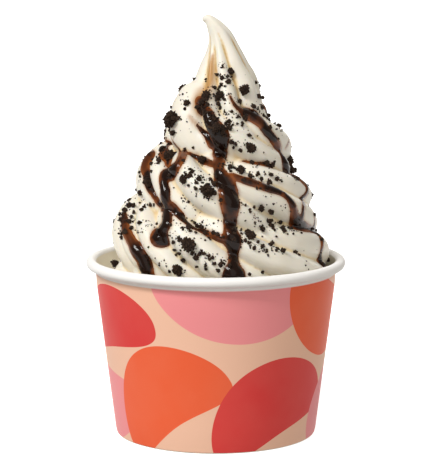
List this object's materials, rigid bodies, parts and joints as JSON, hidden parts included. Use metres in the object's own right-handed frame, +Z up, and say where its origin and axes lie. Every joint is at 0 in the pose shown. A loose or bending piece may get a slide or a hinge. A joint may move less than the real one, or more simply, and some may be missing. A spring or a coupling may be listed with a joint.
{
  "type": "soft serve cup",
  "caption": "Paper cup filled with vanilla soft serve, a ridged rope coiled up to a curled peak, with chocolate sauce and cookie crumbs.",
  "frame": {"origin": "centre of the cup's foot, on the surface it stands on", "axes": "+Z up the cup's axis to the peak, -Y towards the side shown, +X to its right"},
  "size_m": [0.1, 0.1, 0.1617],
  "materials": {
    "printed_paper": "coated paper with a satin print in reds, pinks and peach, and a white rim",
    "white_paper": "plain white coated paper",
    "ice_cream": "smooth, moist vanilla soft serve with glossy dark sauce and rough dark crumbs"
  },
  "bodies": {
    "root": {"cup_wall": "printed_paper", "cup_base": "white_paper", "soft_serve": "ice_cream"}
  },
  "joints": []
}
